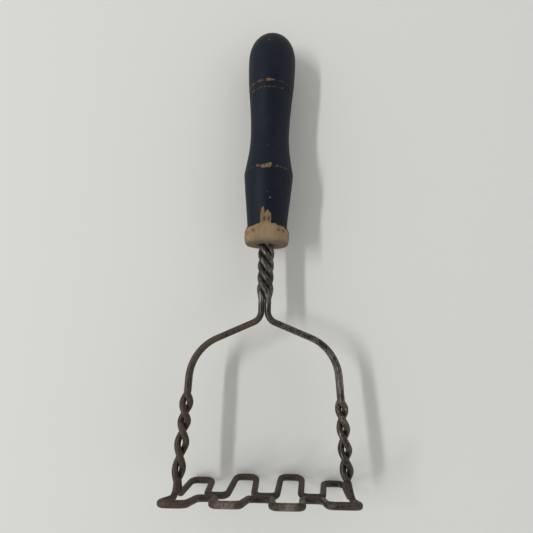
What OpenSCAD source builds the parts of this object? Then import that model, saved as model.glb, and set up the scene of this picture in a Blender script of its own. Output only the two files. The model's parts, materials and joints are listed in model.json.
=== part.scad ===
// Potato masher: two twisted steel wires and a turned, painted wooden handle.
// Millimetres. The masher lies on its back on the surface z = 0, with the handle
// towards +Y, the mashing face towards -Y and its front loops upwards.
// Everything is drawn in the masher's own frame first (y along the handle from
// the middle of the mashing face, z towards the front loops) and laid down once.

/* [Wire] */
// Thickness of the steel wire
wire_d = 3.4; // [2.5:0.1:5]
// Play left between two wires that lie against each other
wire_gap = 0.04; // [0.02:0.01:0.2]
// Smallest centre line radius of the bends in the mashing face
bend_r = 3.6; // [3:0.1:8]
// Sides of the drawn wire
wire_sides = 12; // [8:1:20]

/* [Shank] */
// Height of the fork where the four strands part
fork_y = 88; // [60:0.1:140]
// Height at which the strands stop twisting
untwist_y = 96.7; // [70:0.1:140]
// Length of one full turn of the four strands
rope_pitch = 25.7; // [18:0.1:60]
// Centre line radius of the strands where they are twisted hard
rope_r = 2.76; // [2:0.01:4]
// Length over which the twist starts
rope_ease = 8; // [2:0.5:20]
// How far the strands go into the handle
shank_in = 38.6; // [10:1:80]

/* [Arms] */
// Slope of the left shoulder below the horizontal, degrees
slope_left = 25; // [0:0.1:45]
// Slope of the right shoulder below the horizontal, degrees
slope_right = 21.2; // [0:0.1:45]
// Distance of the left outer corner from the middle
corner_left = 37.5; // [30:0.1:60]
// Distance of the right outer corner from the middle
corner_right = 38.7; // [30:0.1:60]
// Centre line radius of the outer corners
corner_r = 23.4; // [8:0.5:35]
// Centre line radius of the fork
fork_r = 6.5; // [3:0.1:12]

/* [Side twists] */
// Heights at which the left pair stands one wire behind the other
marks_left = [49.7, 39.9, 31.1, 19.2, 7.3];
// Heights at which the right pair stands one wire behind the other
marks_right = [47.2, 38, 28.1, 18.1, 8.3];
// Half of the gap in each eye of the left pair
eyes_left = [0.18, 0.02, 0.36, 0.12];
// Half of the gap in each eye of the right pair
eyes_right = [0.07, 0.1, 0.3, 0.14];
// Distances of the left and right twists from the middle at their tops
twist_top_x = [38.2, 41.1];
// Distances of the left and right twists from the middle at their feet
twist_foot_x = [40.6, 44.5];

/* [Mashing face] */
// Reach of the front loops from the middle
front_reach = 23.4; // [15:0.5:45]
// Reach of the back loops from the middle
back_reach = 24.1; // [15:0.5:45]
// Middle and width of each front loop at its root, left to right
front_loops = [[-35.5, 11.1], [-13.1, 16.1], [14.2, 14.8], [38.9, 14.8]];
// Middle and width of each back loop at its root, left to right
back_loops = [[-32.8, 13.5], [-9.2, 13.5], [15.1, 12.1], [39.2, 13.7]];
// How much narrower each front loop is at its end
front_taper = [-0.9, 3.6, 1.1, 0.7];
// How much narrower each back loop is at its end
back_taper = [2.4, 2.4, 0.3, 2.6];
// Sideways lean of each front loop over its length
front_lean = [-3.3, -2, -2, -1.1];
// Sideways lean of each back loop over its length
back_lean = [2.1, 2.9, 3.5, 3];
// Rise of each front loop over its length
front_rise = [5.9, 6, 5.6, 6.5];
// Fall of each back loop over its length
back_fall = [1, -1.1, -1.4, 1.5];
// Height of the wires along the middle of the face
face_y = 0; // [-5:0.1:10]

/* [Handle] */
// Distance from the middle of the mashing face to the tip of the handle
handle_top = 254.2; // [200:0.5:320]
// Distance from the middle of the mashing face to the handle's end face
handle_foot = 128.2; // [100:0.1:200]
// Radius of the upper swell
swell_top_r = 13.7; // [9:0.1:18]
// Radius of the waist
waist_r = 10.98; // [7:0.1:16]
// Radius of the lower swell
swell_low_r = 13.75; // [9:0.1:18]
// Radius of the neck above the collar
neck_r = 11; // [7:0.1:16]
// Radius of the bare collar
collar_r = 12.4; // [8:0.1:18]
// Radius of the end face
foot_r = 11.2; // [6:0.1:16]
// Depth of the scored rings
score_depth = 0.3; // [0:0.05:1]
// Play of the twisted shank in its bore
bore_gap = 0.06; // [0.02:0.01:0.5]

/* [Hidden] */
// Half of the distance between two wires that touch
half_pair = wire_d / 2 + wire_gap / 2;
rope_square_r = half_pair * sqrt(2);
bore_r = rope_r + wire_d / 2 + bore_gap;
bore_end = handle_foot + shank_in + 1.5;
// Stations of the handle's outline, from its end face upwards
y_collar = handle_foot + 5.8;
y_neck = handle_foot + 10.6;
y_low = handle_foot + 39.5;
y_waist = handle_foot + 62.8;
y_top = handle_foot + 108.4;
// Middles of the scored rings
score_at = [handle_foot + 40.6, handle_foot + 87, handle_foot + 90.8];
score_w = 0.9;
painted = [0.11, 0.125, 0.16];
steel = [0.33, 0.31, 0.29];

// ---- small helpers -------------------------------------------------------
function flatten(l) = [for (a = l, b = a) b];
function reversed(l) = [for (i = [len(l) - 1:-1:0]) l[i]];
function unit(v) = v / norm(v);
function mix(a, b, k) = a + (b - a) * k;
function ease(k) = (1 - cos(180 * k)) / 2;
function clamp01(k) = max(0, min(1, k));

// Value of a smooth curve through the list l at the position s
function smooth_at(l, s) =
  let (
    i = min(floor(s), len(l) - 2),
    u = s - i,
    a = l[i],
    b = l[i + 1],
    p = i > 0 ? l[i - 1] : 2 * a - b,
    q = i < len(l) - 2 ? l[i + 2] : 2 * b - a
  )
  a + u * (b - p) / 2 + u * u * (2 * p - 5 * a + 4 * b - q) / 2
    + u * u * u * (3 * (a - b) + q - p) / 2;

// The arc that rounds the corner b of the path a-b-c
function corner_arc(a, b, c, r, steps) =
  let (
    u = unit(a - b),
    v = unit(c - b),
    turn = 180 - acos(u * v),
    reach = r * tan(turn / 2),
    middle = b + unit(u + v) * r / cos(turn / 2),
    e1 = unit(b + u * reach - middle)
  )
  turn < 1 ? [b] : [for (i = [0:steps]) middle + r * (e1 * cos(turn * i / steps)
    + unit(-u) * sin(turn * i / steps))];

// A path whose inner corners are rounded; each point is [place, radius]
function rounded_path(pts, steps) =
  let (n = len(pts))
  concat([pts[0][0]],
    flatten([for (i = [1:n - 2])
      corner_arc(pts[i - 1][0], pts[i][0], pts[i + 1][0], pts[i][1], steps)]),
    [pts[n - 1][0]]);

// ---- the wires' centre lines ---------------------------------------------
// Turn of the four-strand shank at the height y, degrees
function rope_turn(y) =
  let (u = max(0, y - untwist_y))
  -360 / rope_pitch * (u < rope_ease ? u * u / (2 * rope_ease) : u - rope_ease / 2);

function rope_point(phase, y) =
  let (
    a = phase + rope_turn(y),
    r = mix(rope_square_r, rope_r, ease(clamp01((y - untwist_y) / rope_ease)))
  )
  [r * sin(a), y, r * cos(a)];

// One strand from inside the handle down to the end of the twist
function rope_strand(phase) =
  let (
    y1 = handle_foot + shank_in,
    n = ceil((y1 - untwist_y) / rope_pitch * 13)
  )
  [for (i = [0:n]) rope_point(phase, mix(y1, untwist_y, i / n))];

// One arm, from the end of the twist to the top of the side twist
function arm(side, front) =
  let (
    x0 = side * half_pair,
    z0 = front * half_pair,
    out = side < 0 ? corner_left : corner_right,
    drop = tan(side < 0 ? slope_left : slope_right) * (out - half_pair),
    marks = side < 0 ? marks_left : marks_right
  )
  rounded_arm([x0, untwist_y, z0], [x0, fork_y, z0],
    [side * out, fork_y - drop, z0], [side * twist_top_x[side < 0 ? 0 : 1], marks[0], z0]);

function rounded_arm(a, b, c, d) =
  concat(corner_arc(a, b, c, fork_r, 8), corner_arc(b, c, d, corner_r, 10));

// One wire of a side twist, from the top down, after two full turns
function side_twist(side, front) =
  let (
    marks = side < 0 ? marks_left : marks_right,
    eyes = side < 0 ? eyes_left : eyes_right,
    top_x = twist_top_x[side < 0 ? 0 : 1],
    foot_x = twist_foot_x[side < 0 ? 0 : 1],
    turns = len(eyes),
    steps = 7
  )
  [for (k = [0:turns * steps])
    let (
      s = k / steps,
      y = smooth_at(marks, s),
      x = side * mix(foot_x, top_x, (y - marks[turns]) / (marks[0] - marks[turns])),
      eye = eyes[min(floor(s), turns - 1)],
      r = half_pair + eye * pow(sin(180 * s), 2),
      a = 180 * s + (front > 0 ? 0 : 180)
    )
    [x + r * sin(a), y, r * cos(a)]];

// The four corners of one loop: root, end, end, root
function loop_corners(mid, width, taper, lean, reach, lift, front) =
  let (
    z0 = front * half_pair,
    z1 = front * reach,
    w0 = width / 2,
    w1 = (width - taper) / 2,
    m = mid + lean,
    yk = face_y,
    y1 = face_y + lift
  )
  [[[mid - w0, yk, z0], bend_r], [[m - w1, y1, z1], bend_r],
   [[m + w1, y1, z1], bend_r], [[mid + w0, yk, z0], bend_r]];

function face_points(front) =
  flatten([for (i = [0:3])
    front > 0
      ? loop_corners(front_loops[i][0], front_loops[i][1], front_taper[i], front_lean[i],
          front_reach, front_rise[i], 1)
      : loop_corners(back_loops[i][0], back_loops[i][1], back_taper[i], back_lean[i],
          back_reach, -back_fall[i], -1)]);

// A whole wire, from one end in the handle to the other
function wire_path(front) =
  let (
    left = concat(rope_strand(front > 0 ? -45 : -135), arm(-1, front), side_twist(-1, front)),
    right = concat(rope_strand(front > 0 ? 45 : 135), arm(1, front), side_twist(1, front)),
    a = left[len(left) - 1],
    b = right[len(right) - 1],
    face = rounded_path(concat([[a, 0]], face_points(front), [[b, 0]]), 5)
  )
  concat(left, [for (i = [1:len(face) - 2]) face[i]], reversed(right));

// ---- drawing a wire --------------------------------------------------------
function tangent(p, i) =
  let (n = len(p) - 1)
  i == 0 ? unit(p[1] - p[0])
    : i == n ? unit(p[n] - p[n - 1])
    : unit(unit(p[i] - p[i - 1]) + unit(p[i + 1] - p[i]));

// A normal carried along the path without twisting
function carried(p) =
  [for (i = 0, v = unit(cross(tangent(p, 0), [1, 0.3, 0.2])); i < len(p);
    i = i + 1, v = i < len(p) ? unit(v - tangent(p, i) * (v * tangent(p, i))) : v) v];

module wire(p) {
  m = wire_sides;
  n = len(p);
  v = carried(p);
  rings = [for (i = [0:n - 1])
    let (t = tangent(p, i), w = cross(t, v[i]))
    for (k = [0:m - 1])
      p[i] + wire_d / 2 * (v[i] * cos(360 * k / m) + w * sin(360 * k / m))];
  sides = [for (i = [0:n - 2], k = [0:m - 1])
    let (a = i * m + k, b = i * m + (k + 1) % m)
    [a, a + m, b + m, b]];
  ends = [[for (k = [0:m - 1]) k], [for (k = [m - 1:-1:0]) (n - 1) * m + k]];
  polyhedron(points = rings, faces = concat(sides, ends), convexity = 10);
}

// ---- the handle ------------------------------------------------------------
function score_cut(y) =
  max([for (s = score_at) score_depth * clamp01(1 - abs(y - s) / (score_w / 2))]);

function slow_start(k) = mix(k, ease(k), 0.2);

// Radius of the turned outline at the height y
function turned_r(y) =
  y < y_collar
  ? mix(foot_r, collar_r, pow(sin(90 * (y - handle_foot) / (y_collar - handle_foot)), 0.5))
  : y < y_neck ? mix(collar_r, neck_r, ease((y - y_collar) / (y_neck - y_collar)))
  : y < y_low ? mix(neck_r, swell_low_r, slow_start((y - y_neck) / (y_low - y_neck)))
  : y < y_waist ? mix(swell_low_r, waist_r, pow(ease((y - y_low) / (y_waist - y_low)), 0.55))
  : y < y_top ? mix(waist_r, swell_top_r, ease((y - y_waist) / (y_top - y_waist)))
  : swell_top_r * pow(1 - pow((y - y_top) / (handle_top - y_top), 2.44), 1 / 2.14);

outline_y = concat(
  [for (i = [0:5]) mix(handle_foot, y_collar, i / 5)],
  [for (i = [1:5]) mix(y_collar, y_neck, i / 5)],
  [for (i = [1:10]) mix(y_neck, y_low, i / 10)],
  [for (i = [1:2]) mix(y_low, score_at[0] - score_w / 2, i / 2)],
  [score_at[0], score_at[0] + score_w / 2],
  [for (i = [1:7]) mix(score_at[0] + score_w / 2, y_waist, i / 7)],
  [for (i = [1:9]) mix(y_waist, score_at[1] - score_w / 2, i / 9)],
  [score_at[1], score_at[1] + score_w / 2],
  [score_at[2] - score_w / 2, score_at[2], score_at[2] + score_w / 2],
  [for (i = [1:3]) mix(score_at[2] + score_w / 2, y_top, i / 3)],
  [for (i = [1:10]) mix(y_top, handle_top, sin(90 * i / 10.6))]);

module handle() {
  color(painted)
    lay_down()
      rotate([-90, 0, 0])
        rotate_extrude($fn = 96)
          polygon(concat(
            [[bore_r, handle_foot]],
            [for (y = outline_y) [turned_r(y) - score_cut(y), y]],
            [[0, handle_top], [0, bore_end], [bore_r, bore_end]]));
}

// ---- lying down --------------------------------------------------------------
// Lowest place of the handle and of the back loops when tilted by the angle a
function handle_low(a) = min([for (y = outline_y) -y * sin(a) - turned_r(y) * cos(a)]);
function loops_low(a) =
  min([for (f = back_fall) -back_reach * cos(a) - (face_y - f) * sin(a)]) - wire_d / 2;
// The tilt at which both touch the surface
function rest_tilt(lo, hi, n) =
  let (m = (lo + hi) / 2)
  n == 0 ? m
    : handle_low(m) > loops_low(m) ? rest_tilt(m, hi, n - 1) : rest_tilt(lo, m, n - 1);
tilt = rest_tilt(0, 12, 40);
lift = -loops_low(tilt);
// The row's origin is under the middle of the masher's bounding box
function laid_y(p) = p[1] * cos(tilt) + p[2] * sin(tilt);
reach_low = min([for (p = wire_path(-1)) laid_y(p)]) - wire_d / 2;
reach_high = max([for (y = outline_y) y * cos(tilt) + turned_r(y) * sin(tilt)]);
left_most = min([for (p = wire_path(1)) p[0]]) - wire_d / 2;
right_most = max([for (p = concat(wire_path(1), wire_path(-1))) p[0]]) + wire_d / 2;

module lay_down() {
  translate([-(left_most + right_most) / 2, -(reach_low + reach_high) / 2, lift])
    rotate([-tilt, 0, 0])
      children();
}

module front_wire() {
  color(steel)
    lay_down()
      wire(wire_path(1));
}

module back_wire() {
  color(steel)
    lay_down()
      wire(wire_path(-1));
}

handle();
front_wire();
back_wire();
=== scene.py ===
"""Looks of an old hand potato masher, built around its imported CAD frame.

The masher lies on its back on a pale surface. Its sizes are in millimetres in the
masher's own frame: x to the right, y along the handle from the middle of the mashing
face, z towards the front loops. Rest.lay turns a place there into metres in the row frame.
"""

import json
import logging
import math
from dataclasses import dataclass, field
from enum import Enum
from typing import Any

import bpy
from mathutils import Matrix, Vector, noise


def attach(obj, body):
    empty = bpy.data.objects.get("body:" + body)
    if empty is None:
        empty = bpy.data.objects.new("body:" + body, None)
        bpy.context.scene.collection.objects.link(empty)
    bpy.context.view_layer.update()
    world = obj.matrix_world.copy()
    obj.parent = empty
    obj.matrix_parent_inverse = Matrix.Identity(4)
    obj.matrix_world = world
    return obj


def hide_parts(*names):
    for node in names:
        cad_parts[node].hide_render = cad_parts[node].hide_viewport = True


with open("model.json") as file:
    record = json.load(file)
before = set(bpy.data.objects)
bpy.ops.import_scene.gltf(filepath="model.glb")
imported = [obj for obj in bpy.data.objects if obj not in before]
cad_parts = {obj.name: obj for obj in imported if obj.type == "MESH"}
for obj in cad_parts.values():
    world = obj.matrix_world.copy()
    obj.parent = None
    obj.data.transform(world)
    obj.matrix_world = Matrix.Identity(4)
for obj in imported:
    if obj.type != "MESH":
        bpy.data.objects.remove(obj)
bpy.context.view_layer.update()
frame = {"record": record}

MM = 0.001
Colour = tuple[float, float, float]
Triple = tuple[float, float, float]
Pair = tuple[float, float]
log = logging.getLogger("masher")


# ---- plain helpers -------------------------------------------------------------


def mix(a: Any, b: Any, k: float) -> Any:
    """Value a fraction k of the way from a to b."""
    return a + (b - a) * k


def ease(k: float) -> float:
    """Cosine ease from 0 to 1."""
    return (1 - math.cos(math.pi * k)) / 2


def clamp(k: float) -> float:
    """k held between 0 and 1."""
    return max(0.0, min(1.0, k))


def smooth(k: float) -> float:
    """Smoothstep of k, clamped."""
    k = clamp(k)
    return k * k * (3 - 2 * k)


def smooth_at(values: list[float], s: float) -> float:
    """Value of a smooth curve through a list.

    Args:
        values: Values at the whole places 0, 1, 2 ...
        s: Place along the list.

    Returns:
        The value of the Catmull-Rom curve at s.
    """
    i = min(int(math.floor(s)), len(values) - 2)
    u, a, b = s - i, values[i], values[i + 1]
    p = values[i - 1] if i > 0 else 2 * a - b
    q = values[i + 2] if i < len(values) - 2 else 2 * b - a
    return (
        a
        + u * (b - p) / 2
        + u * u * (2 * p - 5 * a + 4 * b - q) / 2
        + u**3 * (3 * (a - b) + q - p) / 2
    )


def corner_arc(a: Vector, b: Vector, c: Vector, radius: float, steps: int) -> list[Vector]:
    """Points of the arc that rounds one corner of a path.

    Args:
        a: Place before the corner.
        b: The corner.
        c: Place after the corner.
        radius: Radius of the rounding.
        steps: Pieces that the arc is cut into.

    Returns:
        The arc's points, or the corner alone where the path hardly turns.
    """
    u, v = (a - b).normalized(), (c - b).normalized()
    turn = math.pi - math.acos(max(-1.0, min(1.0, u.dot(v))))
    if turn < math.radians(1):
        return [b]
    middle = b + (u + v).normalized() * (radius / math.cos(turn / 2))
    out = (b + u * (radius * math.tan(turn / 2)) - middle).normalized()
    return [
        middle + radius * (out * math.cos(turn * i / steps) - u * math.sin(turn * i / steps))
        for i in range(steps + 1)
    ]


class Side(Enum):
    """Which of the two wires, by the side its loops reach to."""

    FRONT = 1
    BACK = -1


class Hand(Enum):
    """Left or right half of the masher."""

    LEFT = -1
    RIGHT = 1


@dataclass(frozen=True)
class Rest:
    """How the masher lies in the row frame."""

    tilt: float
    origin: Vector

    @classmethod
    def read(cls, record: dict[str, Any]) -> "Rest":
        """Works out the lie from the mount in the middle of the mashing face.

        Args:
            record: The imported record.

        Returns:
            The tilt, radians, and the origin, metres, of the masher's frame.
        """
        mount = next(m for m in record["mounts"] if m["name"] == "mashing_face")
        axis = Vector(mount["axis"])
        return cls(math.atan2(axis.z, -axis.y), Vector(mount["pos_m"]))

    def lay(self, place: Vector) -> Vector:
        """A place in the masher's frame, millimetres, as metres in the row frame."""
        return Matrix.Rotation(-self.tilt, 3, "X") @ (place * MM) + self.origin

    def pull_back(self) -> Vector:
        """Offset, in millimetres, that takes turned row places to the masher's frame."""
        return Matrix.Rotation(self.tilt, 3, "X") @ self.origin / -MM


REST = Rest.read(frame["record"])


# ---- shader writing --------------------------------------------------------------


class Signal:
    """One socket of a material, on which Python's operators add Math nodes."""

    def __init__(self, bench: "Bench", socket: bpy.types.NodeSocket) -> None:
        """Wraps a socket of the bench's material."""
        self.bench = bench
        self.socket = socket

    def _with(self, operation: str, *terms: Any) -> "Signal":
        """A Math node of that operation on these terms."""
        return self.bench.node(
            "ShaderNodeMath", {"operation": operation}, dict(enumerate(terms))
        )

    def __add__(self, other: Any) -> "Signal":
        """self + other."""
        return self._with("ADD", self, other)

    def __radd__(self, other: Any) -> "Signal":
        """other + self."""
        return self._with("ADD", other, self)

    def __sub__(self, other: Any) -> "Signal":
        """self - other."""
        return self._with("SUBTRACT", self, other)

    def __rsub__(self, other: Any) -> "Signal":
        """other - self."""
        return self._with("SUBTRACT", other, self)

    def __mul__(self, other: Any) -> "Signal":
        """self * other."""
        return self._with("MULTIPLY", self, other)

    def __rmul__(self, other: Any) -> "Signal":
        """other * self."""
        return self._with("MULTIPLY", other, self)

    def __abs__(self) -> "Signal":
        """Size of self without its sign."""
        return self._with("ABSOLUTE", self)

    def least(self, other: Any) -> "Signal":
        """The smaller of the two."""
        return self._with("MINIMUM", self, other)

    def most(self, other: Any) -> "Signal":
        """The larger of the two."""
        return self._with("MAXIMUM", self, other)

    def step(self, low: float, high: float) -> "Signal":
        """Smooth step between two values.

        Args:
            low: Value at which the step is 0.
            high: Value at which it is 1; where it is below low, the step falls.

        Returns:
            The step, from 0 to 1.
        """
        rising = low < high
        ramp = self.bench.node(
            "ShaderNodeMapRange",
            {"interpolation_type": "SMOOTHSTEP"},
            {"Value": self, "From Min": min(low, high), "From Max": max(low, high)},
        )
        return ramp if rising else 1 - ramp


class Bench:
    """Builds one node material."""

    def __init__(self, name: str) -> None:
        """Starts an empty material of that name."""
        self.material = bpy.data.materials.new(name)
        self.material.use_nodes = True
        self.tree = self.material.node_tree
        self.tree.nodes.clear()

    def node(
        self,
        kind: str,
        settings: dict[str, Any] | None = None,
        inputs: dict[Any, Any] | None = None,
        out: Any = 0,
    ) -> Signal:
        """Adds a node.

        Args:
            kind: The node's type.
            settings: The node's own settings, set before its sockets.
            inputs: Values or Signals by socket name or number.
            out: Name or number of the output that is wanted.

        Returns:
            The wanted output as a Signal.
        """
        made = self.tree.nodes.new(kind)
        for key, value in (settings or {}).items():
            setattr(made, key, value)
        for key, value in (inputs or {}).items():
            if isinstance(value, Signal):
                self.tree.links.new(value.socket, made.inputs[key])
            else:
                made.inputs[key].default_value = value
        return Signal(self, made.outputs[out])

    def place(self, stretch: Triple = (1, 1, 1)) -> Signal:
        """Place in the masher's own frame in millimetres.

        Args:
            stretch: What each axis is multiplied by; a small value draws a pattern out.

        Returns:
            The place as a vector.
        """
        seat = self.node("ShaderNodeTexCoord", out="Object")
        turned = self.node(
            "ShaderNodeMapping",
            {"vector_type": "POINT"},
            {
                "Vector": seat,
                "Scale": (1 / MM,) * 3,
                "Rotation": (REST.tilt, 0, 0),
                "Location": REST.pull_back(),
            },
        )
        if stretch == (1, 1, 1):
            return turned
        return self.node(
            "ShaderNodeVectorMath", {"operation": "MULTIPLY"}, {0: turned, 1: stretch}
        )

    def axes(self, vector: Signal) -> tuple[Signal, Signal, Signal]:
        """Splits a vector.

        Args:
            vector: The vector.

        Returns:
            Its x, y and z.
        """
        split = self.node("ShaderNodeSeparateXYZ", inputs={0: vector})
        outputs = split.socket.node.outputs
        return tuple(Signal(self, outputs[i]) for i in range(3))

    def grain(
        self, vector: Signal, size: float, detail: float = 2, rough: float = 0.5, seed: float = 0
    ) -> Signal:
        """Soft noise from 0 to 1.

        Args:
            vector: Place in millimetres.
            size: Size of one blotch in millimetres.
            detail: Finer layers that are added.
            rough: Strength of the finer layers.
            seed: Picks another pattern.

        Returns:
            The noise.
        """
        return self.node(
            "ShaderNodeTexNoise",
            {"noise_dimensions": "4D"},
            {"Vector": vector, "W": seed, "Scale": 1 / size, "Detail": detail, "Roughness": rough},
        )

    def tint(self, factor: Any, a: Any, b: Any) -> Signal:
        """Mixes two colours.

        Args:
            factor: How far from a to b, from 0 to 1.
            a: First colour.
            b: Second colour.

        Returns:
            The colour between them.
        """
        a, b = (c if isinstance(c, Signal) else (*c, 1) for c in (a, b))
        return self.node(
            "ShaderNodeMix", {"data_type": "RGBA"}, {0: factor, 6: a, 7: b}, out=2
        )

    def bump(self, height: Signal, depth: float, strength: float = 1) -> Signal:
        """Normal of a surface raised by height times depth millimetres."""
        return self.node(
            "ShaderNodeBump",
            inputs={"Height": height, "Distance": depth * MM, "Strength": strength},
        )

    def finish(self, **sockets: Any) -> bpy.types.Material:
        """Joins a Principled shader to the output.

        Args:
            sockets: The shader's sockets, with _ for a space in their names.

        Returns:
            The finished material.
        """
        inputs = {}
        for key, value in sockets.items():
            wide = isinstance(value, tuple) and len(value) == 3
            inputs[key.replace("_", " ")] = (*value, 1) if wide else value
        shader = self.node("ShaderNodeBsdfPrincipled", inputs=inputs)
        end = self.tree.nodes.new("ShaderNodeOutputMaterial")
        self.tree.links.new(shader.socket, end.inputs["Surface"])
        return self.material


# ---- finishes ----------------------------------------------------------------------


@dataclass(frozen=True)
class SteelFinish:
    """Old drawn steel wire with a dark patina, rust, rub-worn places and small painted highlights.
    """

    dark: Colour = (0.033, 0.0285, 0.0245)
    grey: Colour = (0.24, 0.23, 0.22)
    rust: Colour = (0.029, 0.0185, 0.0115)
    flake: Colour = (0.084, 0.054, 0.034)
    ochre: Colour = (0.24, 0.155, 0.085)
    # Pale colour of the rub-worn loop ends, also used for the painted highlights
    rub_and_glint: Colour = (0.26, 0.215, 0.185)
    # Heights at which the shank starts, and the mashing face and the side twists end
    shank_y: float = 88.0
    grid_y: float = 10.0
    twist_y: float = 52.0
    # Middle and half width of the two rub-worn patches, and how far forward they start
    rubs: tuple[Pair, Pair] = ((-15.0, 4.2), (12.4, 3.6))
    rub_z: float = 20.5

    def material(self, name: str, seed: float) -> bpy.types.Material:
        """Builds the material.

        Args:
            name: Name of the material.
            seed: Shifts the pattern from one wire to the other.

        Returns:
            The finished material.
        """
        bench = Bench(name)
        place = bench.place()
        x, y, _ = bench.axes(place)

        # Where on the masher: the shank, the face, the left half, the right arm and twist
        shank = y.step(self.shank_y, self.shank_y + 14)
        grid = y.step(self.grid_y + 4, self.grid_y - 6)
        left = x.step(4, -8) * (1 - shank)
        right_twist = x.step(25, 32) * y.step(self.twist_y, self.twist_y - 5) * y.step(19, 27)
        right = x.step(6, 14) * (0.2 + y.step(44, 54) * 0.8) * (1 - grid)
        clean = (shank + right * 0.6).least(1)

        # Patterns from coarse to fine, and the marks of the drawing die
        cloud = bench.grain(place, 9, 3, 0.6, seed)
        blotch = bench.grain(place, 2.2, 4, 0.65, seed + 3)
        fleck = bench.grain(place, 0.55, 2, 0.6, seed + 7)
        drawn = bench.grain(bench.place((1, 0.12, 1)), 0.7, 2, 0.5, seed + 11)

        # Rust, ochre specks, bare grey steel, rub-worn places and painted highlights
        rusty = (
            cloud * 0.4 + blotch * 0.9 + left * 0.1 + grid * 0.07 - shank * 0.3 - clean * 0.08
        ).step(0.6, 0.78)
        speck = (fleck * 0.7 + blotch * 0.5 + right_twist * 0.1).step(0.74, 0.84)
        speck = speck * (0.25 + right_twist * 0.75 + left * 0.2) * (1 - shank * 0.8)
        pale = (drawn * 0.6 + cloud * 0.5 + right * 0.05).step(0.5, 0.72)
        ends = self._rub(bench, place)
        # Painted highlights: small glints on fine flecks, in the same pale colour, strongest on
        # the right arm and twist
        glint = fleck.step(0.58, 0.74)
        bright = (ends * 0.5 + glint * (0.16 + right * 0.32 + right_twist * 0.42)).least(1)

        colour = bench.tint(pale * (0.22 + clean * 0.78 - shank * 0.2), self.dark, self.grey)
        flaky = bench.tint(fleck.step(0.38, 0.62), self.rust, self.flake)
        colour = bench.tint(rusty * 0.85, colour, flaky)
        colour = bench.tint(speck, colour, self.ochre)
        colour = bench.tint(grid * 0.3, colour, self.rust)
        # Rub-worn ends and painted highlights take one pale colour
        colour = bench.tint(bright, colour, self.rub_and_glint)
        metal = 0.85 - rusty * 0.55 - speck * 0.3 - shank * 0.2
        rough = 0.28 + rusty * 0.3 + cloud * 0.16 - bright * 0.05 + shank * 0.04
        pits = blotch * 0.6 + fleck * 0.5 + drawn * 0.5
        return bench.finish(
            Base_Color=colour,
            Metallic=metal,
            Roughness=rough,
            Normal=bench.bump(pits, 0.22, 0.9),
        )

    def _rub(self, bench: Bench, place: Signal) -> Signal:
        """Where the ends of the middle front loops are worn bright by rubbing.

        Args:
            bench: The material's bench.
            place: Place in the masher's frame.

        Returns:
            How rubbed the steel is, from 0 to 1.
        """
        x, _, z = bench.axes(place)
        worn = bench.grain(place, 1.6, 3, 0.6, 21)
        left, right = (
            (abs(x - middle) + (worn - 0.5) * 6).step(half + 1.5, half - 1.5)
            for middle, half in self.rubs
        )
        return left.most(right) * z.step(self.rub_z, self.rub_z + 2) * worn.step(0.3, 0.6)


@dataclass(frozen=True)
class PaintFinish:
    """Blue-black gloss paint worn through to turned wood."""

    paint: Colour = (0.004, 0.0072, 0.015)
    thin: Colour = (0.016, 0.016, 0.017)
    wood: Colour = (0.28, 0.2, 0.12)
    wood_dark: Colour = (0.155, 0.108, 0.064)
    stain: Colour = (0.062, 0.036, 0.024)
    # Tone that the wood is darkened to towards and on the end face
    darkening: Colour = (0.115, 0.098, 0.074)
    worn_name: str = "worn"
    darkening_name: str = "darkening"

    def material(self, name: str, foot: float) -> bpy.types.Material:
        """Builds the material.

        Args:
            name: Name of the material.
            foot: Height of the handle's end face.

        Returns:
            The finished material.
        """
        bench = Bench(name)
        place = bench.place()
        _, y, _ = bench.axes(place)
        worn = bench.node("ShaderNodeAttribute", {"attribute_name": self.worn_name}, out="Fac")
        darkness = bench.node("ShaderNodeAttribute", {"attribute_name": self.darkening_name}, out="Fac")
        fine = bench.grain(place, 0.5, 3, 0.65, 2)
        broad = bench.grain(place, 7, 3, 0.55, 4)
        fibre = bench.grain(bench.place((1, 0.06, 1)), 0.55, 3, 0.6, 6)
        figure = bench.grain(bench.place((1, 0.1, 1)), 2.6, 2, 0.5, 9)
        ragged = bench.grain(place, 0.9, 4, 0.75, 12) - 0.5
        above_collar = y.step(foot + 5, foot + 9)
        bare = (worn + ragged * 2.3 * above_collar + (fibre - 0.5) * 1.1).step(0.44, 0.58)
        edge = (worn + (fine - 0.5) * 0.5).step(0.12, 0.45) * (1 - bare)

        # Grain, spots, darker wood above the collar, streaks of thin paint, then stains, weaker
        # chips and a darker tone towards and on the end face
        lines = (fibre * 0.55 + figure * 0.6).step(0.4, 0.8)
        timber = bench.tint(lines, self.wood, self.wood_dark)
        spots = (broad * 0.5 + fine * 0.35 + figure * 0.35).step(0.66, 0.8)
        timber = bench.tint(spots * 0.6, timber, self.stain)
        timber = bench.tint(y.step(foot + 8, foot + 12) * 0.32, timber, self.stain)
        streaks = (fibre * 0.55 + fine * 0.45).step(0.47, 0.57) * y.step(foot + 24, foot + 28)
        timber = bench.tint(streaks * 0.75, timber, self.thin)
        darkened = (darkness * 0.9 + (broad - 0.5) * darkness).least(0.95)
        low = y.step(foot + 3.6, foot + 2.4)
        timber = bench.tint(darkened, timber, bench.tint(low, self.stain, self.darkening))

        coat = bench.tint(broad.step(0.45, 0.75) * 0.35, self.paint, self.thin)
        coat = bench.tint(edge * 0.55, coat, self.thin)
        colour = bench.tint(bare, coat, timber)
        rough = 0.42 + broad * 0.12 + fine * 0.08 + bare * 0.4 + edge * 0.15
        height = fibre * (0.12 + bare * 0.6) + broad * 0.5 - bare * 0.5
        return bench.finish(
            Base_Color=colour,
            Roughness=rough,
            Specular_IOR_Level=0.13,
            Normal=bench.bump(height, 0.12, 0.7),
        )


@dataclass(frozen=True)
class FloorFinish:
    """Plain pale surface under the masher."""

    tone: Colour = (0.66, 0.665, 0.65)

    def material(self, name: str) -> bpy.types.Material:
        """Builds the material of that name."""
        return Bench(name).finish(Base_Color=self.tone, Roughness=0.75)


# ---- the wires ---------------------------------------------------------------------


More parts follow.
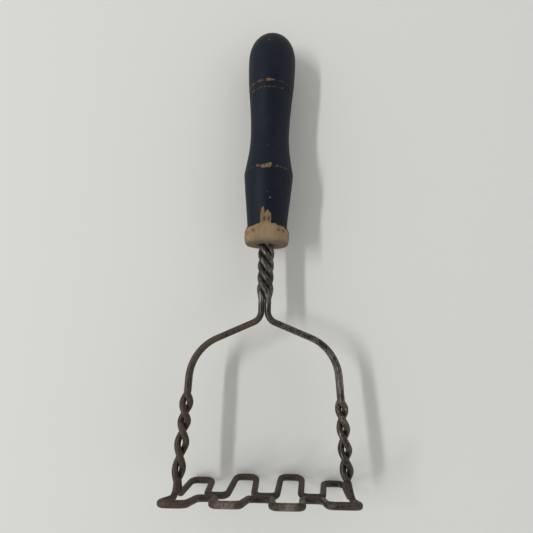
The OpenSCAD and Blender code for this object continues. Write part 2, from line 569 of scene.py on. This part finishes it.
@dataclass
class WireTree:
    """Geometry Nodes that draw a wire along a polyline and wear its skin."""

    name: str = "wire along a path"

    INPUTS = (
        ("Radius", "NodeSocketFloat"),
        ("Spacing", "NodeSocketFloat"),
        ("Sides", "NodeSocketInt"),
        ("Pit depth", "NodeSocketFloat"),
        ("Pit size", "NodeSocketFloat"),
        ("Seed", "NodeSocketFloat"),
        ("Finish", "NodeSocketMaterial"),
    )

    def build(self) -> bpy.types.GeometryNodeTree:
        """Builds the tree, from a path of edges to a closed, pitted wire."""
        tree = bpy.data.node_groups.new(self.name, "GeometryNodeTree")
        face = tree.interface
        face.new_socket("Path", in_out="INPUT", socket_type="NodeSocketGeometry")
        for name, kind in self.INPUTS:
            face.new_socket(name, in_out="INPUT", socket_type=kind)
        face.new_socket("Wire", in_out="OUTPUT", socket_type="NodeSocketGeometry")

        def add(kind: str, settings: dict[str, Any], inputs: dict[Any, Any]) -> Any:
            """Adds a node.

            Args:
                kind: The node's type.
                settings: The node's own settings, set before its sockets.
                inputs: Values or sockets by name or number.

            Returns:
                The node.
            """
            node = tree.nodes.new(kind)
            for key, value in settings.items():
                setattr(node, key, value)
            for key, value in inputs.items():
                if isinstance(value, bpy.types.NodeSocket):
                    tree.links.new(value, node.inputs[key])
                else:
                    node.inputs[key].default_value = value
            return node

        start = tree.nodes.new("NodeGroupInput").outputs
        rail = add("GeometryNodeMeshToCurve", {}, {0: start["Path"]})
        even = add(
            "GeometryNodeResampleCurve",
            {"mode": "LENGTH"},
            {"Curve": rail.outputs[0], "Length": start["Spacing"]},
        )
        ring = add(
            "GeometryNodeCurvePrimitiveCircle",
            {"mode": "RADIUS"},
            {"Resolution": start["Sides"], "Radius": start["Radius"]},
        )
        tube = add(
            "GeometryNodeCurveToMesh",
            {},
            {0: even.outputs[0], 1: ring.outputs[0], "Fill Caps": True},
        )
        pits = add(
            "ShaderNodeTexNoise",
            {"noise_dimensions": "4D"},
            {"W": start["Seed"], "Scale": start["Pit size"], "Detail": 3.0, "Roughness": 0.6},
        )
        depth = add(
            "ShaderNodeMath",
            {"operation": "MULTIPLY"},
            {0: pits.outputs[0], 1: start["Pit depth"]},
        )
        inward = add(
            "ShaderNodeVectorMath",
            {"operation": "SCALE"},
            {0: add("GeometryNodeInputNormal", {}, {}).outputs[0], "Scale": depth.outputs[0]},
        )
        worn = add(
            "GeometryNodeSetPosition", {}, {0: tube.outputs[0], "Offset": inward.outputs[0]}
        )
        soft = add("GeometryNodeSetShadeSmooth", {}, {0: worn.outputs[0]})
        real = add("GeometryNodeRealizeInstances", {}, {0: soft.outputs[0]})
        clad = add("GeometryNodeSetMaterial", {}, {0: real.outputs[0], 2: start["Finish"]})
        end = tree.nodes.new("NodeGroupOutput")
        tree.links.new(clad.outputs[0], end.inputs[0])
        return tree

    def draw(
        self, name: str, path: list[Vector], values: dict[str, Any]
    ) -> bpy.types.Object:
        """Draws one wire.

        Args:
            name: Name of the piece.
            path: Centre line in the row frame, metres.
            values: The tree's inputs by name.

        Returns:
            The wire as an object with a plain mesh.
        """
        line = bpy.data.meshes.new(name + "_path")
        line.from_pydata(path, [(i, i + 1) for i in range(len(path) - 1)], [])
        rail = bpy.data.objects.new(name + "_path", line)
        bpy.context.scene.collection.objects.link(rail)
        modifier = rail.modifiers.new("wire", "NODES")
        modifier.node_group = self.build()
        for item in modifier.node_group.interface.items_tree:
            if item.in_out == "INPUT" and item.name in values:
                modifier[item.identifier] = values[item.name]
        graph = bpy.context.evaluated_depsgraph_get()
        mesh = bpy.data.meshes.new_from_object(rail.evaluated_get(graph))
        rail.modifiers.remove(modifier)
        bpy.data.objects.remove(rail)
        bpy.data.meshes.remove(line)
        mesh.name = name
        wire = bpy.data.objects.new(name, mesh)
        bpy.context.scene.collection.objects.link(wire)
        return wire


@dataclass
class WirePair:
    """The two wires that make the shank, the arms, the side twists and the face."""

    wire_r: float = 1.7
    gap: float = 0.04
    bend_r: float = 3.6
    fork_y: float = 88.0
    untwist_y: float = 96.7
    rope_pitch: float = 25.7
    rope_r: float = 2.76
    rope_ease: float = 8.0
    rope_top: float = 166.8
    # Slope of each shoulder, degrees, and how far out its corner is
    slope: dict[Hand, float] = field(
        default_factory=lambda: {Hand.LEFT: 25.0, Hand.RIGHT: 21.2}
    )
    corner: dict[Hand, float] = field(
        default_factory=lambda: {Hand.LEFT: 37.5, Hand.RIGHT: 38.7}
    )
    corner_r: float = 23.4
    fork_r: float = 6.5
    # Heights at which the wires of a side twist cross, and how much further out each wire
    # stands halfway between two crossings
    marks: dict[Hand, list[float]] = field(
        default_factory=lambda: {
            Hand.LEFT: [49.7, 39.9, 31.1, 19.2, 7.3],
            Hand.RIGHT: [47.2, 38.0, 28.1, 18.1, 8.3],
        }
    )
    eyes: dict[Hand, list[float]] = field(
        default_factory=lambda: {
            Hand.LEFT: [0.18, 0.02, 0.36, 0.12],
            Hand.RIGHT: [0.07, 0.1, 0.3, 0.14],
        }
    )
    # How far out each side twist is at its top and at its foot
    twist_x: dict[Hand, Pair] = field(
        default_factory=lambda: {Hand.LEFT: (38.2, 40.6), Hand.RIGHT: (41.1, 44.5)}
    )
    reach: dict[Side, float] = field(
        default_factory=lambda: {Side.FRONT: 23.4, Side.BACK: 24.1}
    )
    # Each loop: middle and width at its root, taper, lean and rise over its length
    loops: dict[Side, list[tuple[float, ...]]] = field(
        default_factory=lambda: {
            Side.FRONT: [
                (-35.5, 11.1, -0.9, -3.3, 5.9),
                (-13.1, 16.1, 3.6, -2.0, 6.0),
                (14.2, 14.8, 1.1, -2.0, 5.6),
                (38.9, 14.8, 0.7, -1.1, 6.5),
            ],
            Side.BACK: [
                (-32.8, 13.5, 2.4, 2.1, -1.0),
                (-9.2, 13.5, 2.4, 2.9, 1.1),
                (15.1, 12.1, 0.3, 3.5, 1.4),
                (39.2, 13.7, 2.6, 3.0, -1.5),
            ],
        }
    )
    spacing: float = 0.55
    sides: int = 24
    pit_depth: float = 0.05
    pit_size: float = 1.4
    seeds: dict[Side, float] = field(
        default_factory=lambda: {Side.FRONT: 5.0, Side.BACK: 17.0}
    )
    # Pieces that each kind of bend, and a turn of the shank, is cut into
    rope_steps: int = 40
    fork_steps: int = 16
    corner_steps: int = 28
    twist_steps: int = 18
    bend_steps: int = 12
    finish: SteelFinish = field(default_factory=SteelFinish)

    @property
    def half_pair(self) -> float:
        """Half of the distance between two wires that touch."""
        return self.wire_r + self.gap / 2

    def strand(self, phase: float) -> list[Vector]:
        """One strand of the shank, from inside the handle down to its untwisted end.

        Args:
            phase: Where the strand stands at that end, degrees.

        Returns:
            The strand's centre line.
        """
        turns = (self.rope_top - self.untwist_y) / self.rope_pitch
        count = math.ceil(turns * self.rope_steps)
        line = []
        for i in range(count + 1):
            y = mix(self.rope_top, self.untwist_y, i / count)
            up = max(0.0, y - self.untwist_y)
            easing = up < self.rope_ease
            run = up * up / (2 * self.rope_ease) if easing else up - self.rope_ease / 2
            turn = math.radians(phase) - math.tau / self.rope_pitch * run
            tight = ease(clamp(up / self.rope_ease))
            r = mix(self.half_pair * math.sqrt(2), self.rope_r, tight)
            line.append(Vector((r * math.sin(turn), y, r * math.cos(turn))))
        return line

    def arm(self, hand: Hand, side: Side) -> list[Vector]:
        """One arm, from the end of the shank to the top of the side twist.

        Args:
            hand: Left or right arm.
            side: Front or back wire.

        Returns:
            The arm's centre line.
        """
        x0, z0 = hand.value * self.half_pair, side.value * self.half_pair
        out = self.corner[hand]
        drop = math.tan(math.radians(self.slope[hand])) * (out - self.half_pair)
        a, b = Vector((x0, self.untwist_y, z0)), Vector((x0, self.fork_y, z0))
        c = Vector((hand.value * out, self.fork_y - drop, z0))
        d = Vector((hand.value * self.twist_x[hand][0], self.marks[hand][0], z0))
        fork = corner_arc(a, b, c, self.fork_r, self.fork_steps)
        return fork + corner_arc(b, c, d, self.corner_r, self.corner_steps)

    def side_twist(self, hand: Hand, side: Side) -> list[Vector]:
        """One wire of a side twist, from the top down, in two full turns.

        Args:
            hand: Left or right twist.
            side: Front or back wire.

        Returns:
            The wire's centre line.
        """
        marks, eyes, steps = self.marks[hand], self.eyes[hand], self.twist_steps
        top, foot = self.twist_x[hand]
        line = []
        for k in range(len(eyes) * steps + 1):
            s = k / steps
            y = smooth_at(marks, s)
            x = hand.value * mix(foot, top, (y - marks[-1]) / (marks[0] - marks[-1]))
            eye = eyes[min(int(s), len(eyes) - 1)]
            r = self.half_pair + eye * math.sin(math.pi * s) ** 2
            turn = math.pi * s + (0 if side is Side.FRONT else math.pi)
            line.append(Vector((x + r * math.sin(turn), y, r * math.cos(turn))))
        return line

    def zigzag(self, side: Side) -> list[Vector]:
        """Corners of a wire's loops across the face.

        Args:
            side: Front or back wire.

        Returns:
            Four corners for each loop, from left to right.
        """
        corners = []
        root, end = side.value * self.half_pair, side.value * self.reach[side]
        for middle, width, taper, lean, rise in self.loops[side]:
            wide, narrow = width / 2, (width - taper) / 2
            corners += [
                Vector((middle - wide, 0, root)),
                Vector((middle + lean - narrow, rise, end)),
                Vector((middle + lean + narrow, rise, end)),
                Vector((middle + wide, 0, root)),
            ]
        return corners

    def path(self, side: Side) -> list[Vector]:
        """A whole wire, from one end in the handle to the other.

        Args:
            side: Front or back wire.

        Returns:
            The wire's centre line.
        """
        phase = 45 if side is Side.FRONT else 135
        left, right = (
            self.strand(hand.value * phase) + self.arm(hand, side) + self.side_twist(hand, side)
            for hand in (Hand.LEFT, Hand.RIGHT)
        )
        bends = [left[-1], *self.zigzag(side), right[-1]]
        across = [
            p
            for i in range(1, len(bends) - 1)
            for p in corner_arc(*bends[i - 1 : i + 2], self.bend_r, self.bend_steps)
        ]
        return left + across + right[::-1]

    def build(self, side: Side) -> bpy.types.Object:
        """Draws and dresses one wire.

        Args:
            side: Front or back wire.

        Returns:
            The finished piece.
        """
        name = side.name.lower() + "_wire_steel"
        seed = self.seeds[side]
        wire = WireTree().draw(
            name,
            [REST.lay(p) for p in self.path(side)],
            {
                "Radius": (self.wire_r - 0.01) * MM,
                "Spacing": self.spacing * MM,
                "Sides": self.sides,
                "Pit depth": -self.pit_depth * MM,
                "Pit size": 1 / (self.pit_size * MM),
                "Seed": seed,
                "Finish": self.finish.material(name, seed),
            },
        )
        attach(wire, "root")
        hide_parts(side.name.lower() + "_wire")
        return wire


# ---- the handle ----------------------------------------------------------------------


@dataclass(frozen=True)
class Chip:
    """A place where the paint has gone, on the unrolled surface of the handle."""

    across: float
    y: float
    half_across: float
    half_up: float
    strength: float = 1.0

    def worn(self, across: float, y: float) -> float:
        """How worn the paint is there, from 0 to 1."""
        far = math.hypot((across - self.across) / self.half_across, (y - self.y) / self.half_up)
        return self.strength * smooth(1.5 - far)


@dataclass
class Handle:
    """The turned handle with its blind bore, scored rings and worn paint."""

    foot: float = 128.2
    top: float = 254.2
    foot_r: float = 11.2
    collar_r: float = 12.4
    neck_r: float = 11.0
    swell_low_r: float = 13.75
    waist_r: float = 10.98
    swell_top_r: float = 13.7
    # Heights of the widest and narrowest places above the foot
    collar_up: float = 5.8
    neck_up: float = 10.6
    swell_low_up: float = 39.5
    waist_up: float = 62.8
    swell_top_up: float = 108.4
    # Powers that shape the collar, the slope above the lower swell and the rounded tip
    collar_power: float = 0.5
    slope_power: float = 0.55
    tip_power_up: float = 2.44
    tip_power_out: float = 2.14
    bore_r: float = 4.52
    bore_end: float = 168.3
    score_y: tuple[float, ...] = (168.8, 215.2, 219.0)
    score_w: float = 0.9
    score_depth: float = 0.3
    around: int = 168
    station: float = 0.5
    paint_y: float = 134.4
    # How much higher the edge of the paint is at the front than on the sides
    paint_rise: float = 3.3
    paint_depth: float = 0.1
    lump_depth: float = 0.035
    # The bare tongue above the collar: middle, tip and half width of each prong
    prongs: tuple[Triple, ...] = ((-3.0, 147.2, 1.0), (-0.2, 144.9, 1.85))
    tongue_x: float = -1.25
    tongue_half: float = 2.7
    tongue_y: float = 143.4
    finish: PaintFinish = field(default_factory=PaintFinish)
    chips: tuple[Chip, ...] = (
        Chip(-1.8, 219.0, 2.0, 0.75),
        Chip(-7.3, 219.1, 2.0, 0.55, 0.8),
        Chip(-12.6, 219.2, 1.6, 0.5, 0.7),
        Chip(5.6, 219.1, 1.8, 0.25, 0.65),
        Chip(-1.8, 215.2, 1.0, 0.4, 0.7),
        Chip(-6.8, 215.3, 1.2, 0.4, 0.6),
        Chip(-12.0, 215.4, 1.6, 0.4, 0.55),
        Chip(-2.9, 168.4, 2.4, 1.1),
        Chip(-0.6, 168.9, 1.5, 1.3),
        Chip(0.6, 170.0, 0.8, 0.4),
        Chip(-6.7, 169.0, 1.0, 0.75),
        Chip(4.1, 168.8, 0.8, 0.7, 0.9),
        Chip(6.4, 168.6, 0.7, 0.4, 0.8),
        Chip(9.0, 168.6, 1.0, 0.6, 0.85),
        Chip(10.5, 168.6, 0.6, 0.4, 0.8),
        Chip(-10.3, 168.9, 1.2, 0.4, 0.6),
        Chip(-2.4, 243.6, 0.55, 0.7, 0.85),
        Chip(-1.2, 181.0, 0.5, 0.5, 0.5),
        Chip(-0.8, 154.8, 0.6, 0.4, 0.5),
        Chip(0.7, 151.5, 0.5, 0.7, 0.6),
        Chip(24.0, 168.8, 3.0, 0.8),
        Chip(33.0, 219.0, 3.6, 0.7),
        Chip(-30.0, 215.2, 2.0, 0.5, 0.8),
        Chip(41.0, 201.0, 0.9, 1.6, 0.8),
        Chip(-36.0, 246.0, 1.2, 0.8, 0.8),
        Chip(38.0, 236.0, 2.2, 1.3, 0.85),
        Chip(-33.0, 160.0, 0.8, 1.2, 0.7),
    )
    stains: tuple[Chip, ...] = (
        Chip(-1.8, 140.3, 0.8, 1.4, 1.0),
        Chip(0.5, 140.3, 0.7, 1.3, 1.0),
        Chip(-8.2, 134.0, 1.3, 0.9, 0.75),
        Chip(5.9, 134.3, 1.0, 0.8, 0.85),
        Chip(9.5, 134.4, 1.3, 0.9, 0.6),
        Chip(-12.6, 133.2, 1.5, 1.2, 0.5),
        Chip(27.0, 133.0, 4.0, 1.5, 0.6),
        Chip(-28.0, 134.5, 3.0, 1.2, 0.7),
    )

    def radius(self, y: float) -> float:
        """Radius of the turned outline, without the scored rings.

        Args:
            y: Height.

        Returns:
            The radius.
        """
        up = y - self.foot

        def along(start: float, end: float) -> float:
            """How far up is from start to end, from 0 to 1."""
            return (up - start) / (end - start)

        if up < self.collar_up:
            rise = math.sin(math.pi / 2 * along(0, self.collar_up)) ** self.collar_power
            return mix(self.foot_r, self.collar_r, rise)
        if up < self.neck_up:
            return mix(self.collar_r, self.neck_r, ease(along(self.collar_up, self.neck_up)))
        if up < self.swell_low_up:
            k = along(self.neck_up, self.swell_low_up)
            return mix(self.neck_r, self.swell_low_r, mix(k, ease(k), 0.2))
        if up < self.waist_up:
            k = ease(along(self.swell_low_up, self.waist_up)) ** self.slope_power
            return mix(self.swell_low_r, self.waist_r, k)
        if up < self.swell_top_up:
            k = ease(along(self.waist_up, self.swell_top_up))
            return mix(self.waist_r, self.swell_top_r, k)
        tip = clamp(along(self.swell_top_up, self.top - self.foot))
        return self.swell_top_r * (1 - tip**self.tip_power_up) ** (1 / self.tip_power_out)

    def score(self, y: float) -> float:
        """Depth of the scored rings at the height y."""
        return max(
            self.score_depth * clamp(1 - abs(y - s) / (self.score_w / 2)) for s in self.score_y
        )

    def worn(self, turn: float, y: float) -> float:
        """How worn the paint is, from 0 (whole) to 1 (bare wood).

        Args:
            turn: Angle round the handle from its front, radians, -pi to pi.
            y: Height.

        Returns:
            The wear.
        """
        around = Vector((math.sin(turn), math.cos(turn), 0)) * 9
        jag = noise.noise(around + Vector((0, 0, y * 0.1))) * 0.6
        edge = self.paint_y + self.paint_rise * max(0.0, math.cos(turn)) + jag
        wear = smooth(0.5 + edge - y)
        across = turn * self.radius(min(y, self.top - 1))
        wear = max(wear, self.tongue(across, y), *(c.worn(across, y) for c in self.chips))
        for ring in self.score_y:
            line = smooth(1.4 - abs(y - ring) / 0.45)
            patchy = noise.noise(around * 1.3 + Vector((7, ring, 0)))
            wear = max(wear, line * (0.3 + 0.55 * clamp(patchy * 1.8)))
        return wear

    def tongue(self, across: float, y: float) -> float:
        """The bare tongue that runs up from the collar at the front, in two prongs.

        Args:
            across: Distance round the handle from its front.
            y: Height.

        Returns:
            How worn the paint is there, from 0 to 1.
        """
        parts = [
            (middle, half * clamp((tip - y) / 3.2) ** 0.6)
            for middle, tip, half in self.prongs
            if y < tip
        ]
        if y < self.tongue_y:
            parts.append((self.tongue_x, self.tongue_half))
        soft = 0.7
        return max((smooth(0.5 + (w - abs(across - m)) / soft) for m, w in parts), default=0.0)

    def darkening(self, turn: float, y: float, r: float) -> float:
        """How much darker the bare wood is made: towards and on the end face, stains on the collar
        and in the tongue, and the weaker chips.

        Args:
            turn: Angle round the handle from its front, radians, -pi to pi.
            y: Height.
            r: Distance from the handle's axis.

        Returns:
            How dark the wood is made, from 0 to 1.
        """
        # Darker towards the end face, over the rounded foot of the collar
        low = smooth((self.foot + 2.2 - y) / 2.2) * 0.75
        across = turn * self.radius(y)
        faded = (0.55 * c.worn(across, y) for c in self.chips if c.strength < 1)
        darkest = max(low, *(m.worn(across, y) for m in self.stains), *faded)
        if y > self.foot:
            return darkest
        # On the end face darker still, most round the bore
        return max(darkest, 0.45 + 0.5 * smooth((self.bore_r + 3 - r) / 3))

    def lump(self, turn: float, y: float) -> float:
        """Depth of the slow waves in the hand-turned, painted surface."""
        spot = Vector((math.sin(turn) * 1.5, y * 0.09, math.cos(turn) * 1.5))
        return self.lump_depth * (1.6 + noise.noise(spot))

    def stations(self) -> list[float]:
        """Heights of the rings of points, closer together in the scored rings."""
        count = round((self.top - self.foot) / self.station)
        even = [mix(self.foot, self.top, i / count) for i in range(count)]
        dense = [s + d * self.score_w / 6 for s in self.score_y for d in range(-3, 4)]
        keep = [y for y in even if all(abs(y - d) > 0.12 for d in dense)]
        crown = [self.top - 0.5 * 0.55**i for i in range(1, 8)]
        return sorted(keep + dense + crown)

    def build(self) -> bpy.types.Object:
        """Turns the handle as a closed mesh, with its wear as attributes, and dresses it."""
        rings: list[tuple[float, float]] = [
            (mix(self.bore_r, self.foot_r, i / 8), self.foot) for i in range(8)
        ]
        rings += [(self.radius(y) - self.score(y), y) for y in self.stations()]
        bore = [(self.bore_r, mix(self.bore_end, self.foot, i / 20)) for i in range(20)]
        points, worn, darkness = [], [], []
        n = self.around
        for index, (r, y) in enumerate(bore + rings):
            inside = index < len(bore)
            for k in range(n):
                turn = math.tau * k / n - math.pi
                wear = 1.0 if inside else self.worn(turn, y)
                cut = r
                if y > self.foot and not inside:
                    cut -= self.lump(turn, y)
                    if y > self.foot + 4:
                        cut -= self.paint_depth * smooth((wear - 0.35) / 0.3)
                points.append(REST.lay(Vector((cut * math.sin(turn), y, cut * math.cos(turn)))))
                worn.append(wear)
                # Inside the bore the wood is made fully dark
                darkness.append(1.0 if inside else self.darkening(turn, y, r))
        count = len(bore) + len(rings)
        tip, bottom = len(points), len(points) + 1
        points += [REST.lay(Vector((0, y, 0))) for y in (self.top - 0.02, self.bore_end)]
        worn, darkness = worn + [0.0, 1.0], darkness + [0.0, 1.0]
        faces = [
            (i * n + k, i * n + (k + 1) % n, (i + 1) * n + (k + 1) % n, (i + 1) * n + k)
            for i in range(count - 1)
            for k in range(n)
        ]
        faces += [((count - 1) * n + k, (count - 1) * n + (k + 1) % n, tip) for k in range(n)]
        faces += [((k + 1) % n, k, bottom) for k in range(n)]

        mesh = bpy.data.meshes.new("handle_painted")
        mesh.from_pydata(points, [], faces)
        for name, values in ((self.finish.worn_name, worn), (self.finish.darkening_name, darkness)):
            mesh.attributes.new(name, "FLOAT", "POINT").data.foreach_set("value", values)
        mesh.shade_smooth()
        mesh.update()
        piece = bpy.data.objects.new("handle_painted", mesh)
        bpy.context.scene.collection.objects.link(piece)
        mesh.materials.append(self.finish.material("handle_painted", self.foot))
        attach(piece, "root")
        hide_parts("handle")
        return piece


# ---- the studio ----------------------------------------------------------------------


@dataclass
class Studio:
    """Floor, light and camera."""

    floor_half: float = 3.0
    eye: Triple = (-0.00633, -0.03088, 0.2324)
    gaze: Triple = (5.977, -1.543, 1.831)
    lens: float = 26.587
    key_turn: float = 1.0
    key_height: float = 48.0
    key_far: float = 2.4
    key_size: Pair = (1.3, 0.11)
    key_power: float = 26.4
    key_tone: Colour = (1.0, 0.985, 0.96)
    sky_low: float = 0.95
    sky_high: float = 0.12
    # The sine of the heights between which the sky fades
    sky_fade: Pair = (0.62, 0.97)
    sky_tone: Colour = (1.0, 0.99, 0.965)

    def build(self) -> None:
        """Makes the floor, the lights and the camera."""
        h = self.floor_half
        mesh = bpy.data.meshes.new("floor")
        mesh.from_pydata([(-h, -h, 0), (h, -h, 0), (h, h, 0), (-h, h, 0)], [], [(0, 1, 2, 3)])
        floor = bpy.data.objects.new("floor", mesh)
        bpy.context.scene.collection.objects.link(floor)
        mesh.materials.append(FloorFinish().material("pale_floor"))
        self._key()
        self._sky()
        self._camera()
        bpy.context.scene.view_settings.view_transform = "Standard"

    def _key(self) -> None:
        """A soft lamp on the left."""
        turn, up = math.radians(self.key_turn), math.radians(self.key_height)
        aim = Vector((-math.cos(up) * math.cos(turn), math.cos(up) * math.sin(turn), math.sin(up)))
        lamp = bpy.data.lights.new("key", "AREA")
        lamp.shape, lamp.energy = "RECTANGLE", self.key_power
        lamp.size, lamp.size_y = self.key_size
        lamp.color = self.key_tone
        key = bpy.data.objects.new("key", lamp)
        key.location = aim * self.key_far
        key.rotation_euler = aim.to_track_quat("Z", "Y").to_euler()
        bpy.context.scene.collection.objects.link(key)

    def _sky(self) -> None:
        """Pale light from all round, weaker straight above."""
        world = bpy.data.worlds.new("studio")
        world.use_nodes = True
        tree = world.node_tree
        way = tree.nodes.new("ShaderNodeTexCoord")
        split = tree.nodes.new("ShaderNodeSeparateXYZ")
        fade = tree.nodes.new("ShaderNodeMapRange")
        fade.interpolation_type = "SMOOTHSTEP"
        for name, value in (
            ("From Min", self.sky_fade[0]),
            ("From Max", self.sky_fade[1]),
            ("To Min", self.sky_low),
            ("To Max", self.sky_high),
        ):
            fade.inputs[name].default_value = value
        sky = tree.nodes["Background"]
        sky.inputs["Color"].default_value = (*self.sky_tone, 1)
        tree.links.new(way.outputs["Generated"], split.inputs[0])
        tree.links.new(split.outputs["Z"], fade.inputs["Value"])
        tree.links.new(fade.outputs[0], sky.inputs["Strength"])
        bpy.context.scene.world = world

    def _camera(self) -> None:
        """The camera, above the masher and looking down."""
        eye = bpy.data.cameras.new("camera")
        eye.lens, eye.sensor_width = self.lens, 36
        eye.clip_start, eye.clip_end = 0.01, 20
        camera = bpy.data.objects.new("camera", eye)
        camera.location = self.eye
        camera.rotation_euler = [math.radians(a) for a in self.gaze]
        bpy.context.scene.collection.objects.link(camera)
        bpy.context.scene.camera = camera


def main() -> None:
    """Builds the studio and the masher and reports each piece."""
    logging.basicConfig(level=logging.INFO, format="%(name)s: %(message)s")
    Studio().build()
    wires = WirePair()
    pieces = [Handle().build(), *(wires.build(side) for side in Side)]
    for piece in pieces:
        log.info("%s: %d faces", piece.name, len(piece.data.polygons))


if __name__ == "__main__":
    main()
